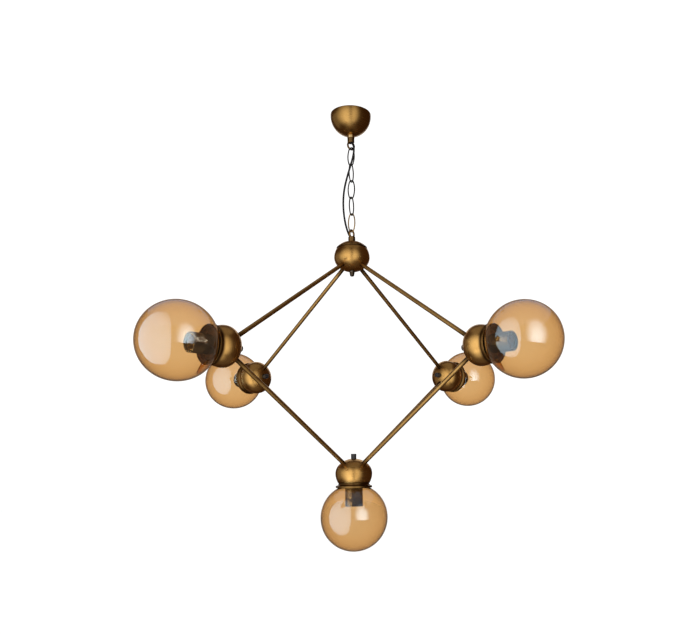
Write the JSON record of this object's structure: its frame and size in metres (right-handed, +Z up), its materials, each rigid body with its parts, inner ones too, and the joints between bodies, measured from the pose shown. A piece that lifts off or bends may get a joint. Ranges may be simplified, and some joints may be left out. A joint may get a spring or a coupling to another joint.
{
  "type": "ceiling lamp",
  "caption": "Hanging ceiling lamp: a diamond frame of slim brass arms between brass balls, amber glass globes on dark lampholders, hung from a domed canopy by a chain with a cord.",
  "frame": {"origin": "on the ceiling, at the middle of the canopy and of its two screws", "axes": "+Z up into the ceiling, the four side globes along -X, -Y, +X and +Y"},
  "size_m": [1.0566, 1.0566, 1.025],
  "materials": {
    "brass": "satin, lacquered",
    "dark_bronze": "dark oxidised",
    "zinc_steel": "zinc plated",
    "black_plastic": "glossy black",
    "plated_plastic": "dark mirror plating",
    "terminal_plastic": "matt off-white",
    "cord_black": "smooth black sheath",
    "contact_brass": "plain",
    "amber_glass": "clear, amber tinted"
  },
  "bodies": {
    "canopy": {"ceiling_strap": "zinc_steel", "strap_nut": "zinc_steel", "canopy_tube": "zinc_steel", "canopy_cup": "brass", "canopy_collar": "brass", "canopy_loop": "brass", "canopy_cord_bush": "cord_black", "terminal_block": "terminal_plastic", "terminal_screws": "zinc_steel", "supply_cord": "cord_black"},
    "link_1": {"chain_link_1": "dark_bronze"},
    "link_2": {"chain_link_2": "dark_bronze"},
    "link_3": {"chain_link_3": "dark_bronze"},
    "link_4": {"chain_link_4": "dark_bronze"},
    "link_5": {"chain_link_5": "brass"},
    "lamp": {"hub_loop": "brass", "hub_lid": "brass", "hub_ball": "brass", "bottom_ball": "brass", "corner_ball_left": "brass", "corner_ball_front": "brass", "corner_ball_right": "brass", "corner_ball_back": "brass", "upper_arm_left": "brass", "upper_arm_front": "brass", "upper_arm_right": "brass", "upper_arm_back": "brass", "lower_arm_left": "brass", "lower_arm_front": "brass", "lower_arm_right": "brass", "lower_arm_back": "brass", "gallery_left": "brass", "gallery_front": "brass", "gallery_right": "brass", "gallery_back": "brass", "gallery_bottom": "brass", "hub_finial": "dark_bronze", "hub_rod": "zinc_steel", "hub_nut": "zinc_steel", "arm_nuts": "zinc_steel", "lamp_rods": "zinc_steel", "gallery_nuts": "zinc_steel", "gallery_grubs": "zinc_steel", "pole_caps": "black_plastic", "lampholder_left": "plated_plastic", "lampholder_front": "plated_plastic", "lampholder_right": "plated_plastic", "lampholder_back": "plated_plastic", "lampholder_bottom": "plated_plastic", "junction_block": "terminal_plastic", "hub_cord_bush": "cord_black", "arm_flex": "cord_black", "screw_shells": "contact_brass", "centre_contacts": "contact_brass"},
    "globe_left": {"globe_left": "amber_glass"},
    "globe_front": {"globe_front": "amber_glass"},
    "globe_right": {"globe_right": "amber_glass"},
    "globe_back": {"globe_back": "amber_glass"},
    "globe_bottom": {"globe_bottom": "amber_glass"}
  },
  "joints": [
    {"name": "link_1_swing", "type": "hinge", "parent": "canopy", "child": "link_1", "pos_m": [0, 0, -0.08647], "axis": [0.9816, 0.1908, 0], "range_deg": [-20, 20], "deforming": ["supply_cord"]},
    {"name": "link_2_swing", "type": "hinge", "parent": "link_1", "child": "link_2", "pos_m": [0, 0, -0.12642], "axis": [-0.1908, 0.9816, 0], "range_deg": [-20, 20], "deforming": ["supply_cord"]},
    {"name": "link_3_swing", "type": "hinge", "parent": "link_2", "child": "link_3", "pos_m": [0, 0, -0.16712], "axis": [0.9816, 0.1908, 0], "range_deg": [-20, 20], "deforming": ["supply_cord"]},
    {"name": "link_4_swing", "type": "hinge", "parent": "link_3", "child": "link_4", "pos_m": [0, 0, -0.20782], "axis": [-0.1908, 0.9816, 0], "range_deg": [-20, 20], "deforming": ["supply_cord"]},
    {"name": "link_5_swing", "type": "hinge", "parent": "link_4", "child": "link_5", "pos_m": [0, 0, -0.24852], "axis": [0.9816, 0.1908, 0], "range_deg": [-20, 20], "deforming": ["supply_cord"]},
    {"name": "lamp_swing", "type": "hinge", "parent": "link_5", "child": "lamp", "pos_m": [0, 0, -0.28922], "axis": [-0.1908, 0.9816, 0], "range_deg": [-20, 20], "deforming": ["supply_cord"]},
    {"name": "globe_left_slide", "type": "slide", "parent": "lamp", "child": "globe_left", "axis": [-1, 0, 0], "range_m": [0, 0.14]},
    {"name": "globe_front_slide", "type": "slide", "parent": "lamp", "child": "globe_front", "axis": [0, -1, 0], "range_m": [0, 0.14]},
    {"name": "globe_right_slide", "type": "slide", "parent": "lamp", "child": "globe_right", "axis": [1, 0, 0], "range_m": [0, 0.14]},
    {"name": "globe_back_slide", "type": "slide", "parent": "lamp", "child": "globe_back", "axis": [0, 1, 0], "range_m": [0, 0.14]},
    {"name": "globe_bottom_slide", "type": "slide", "parent": "lamp", "child": "globe_bottom", "axis": [0, 0, -1], "range_m": [0, 0.14]}
  ]
}
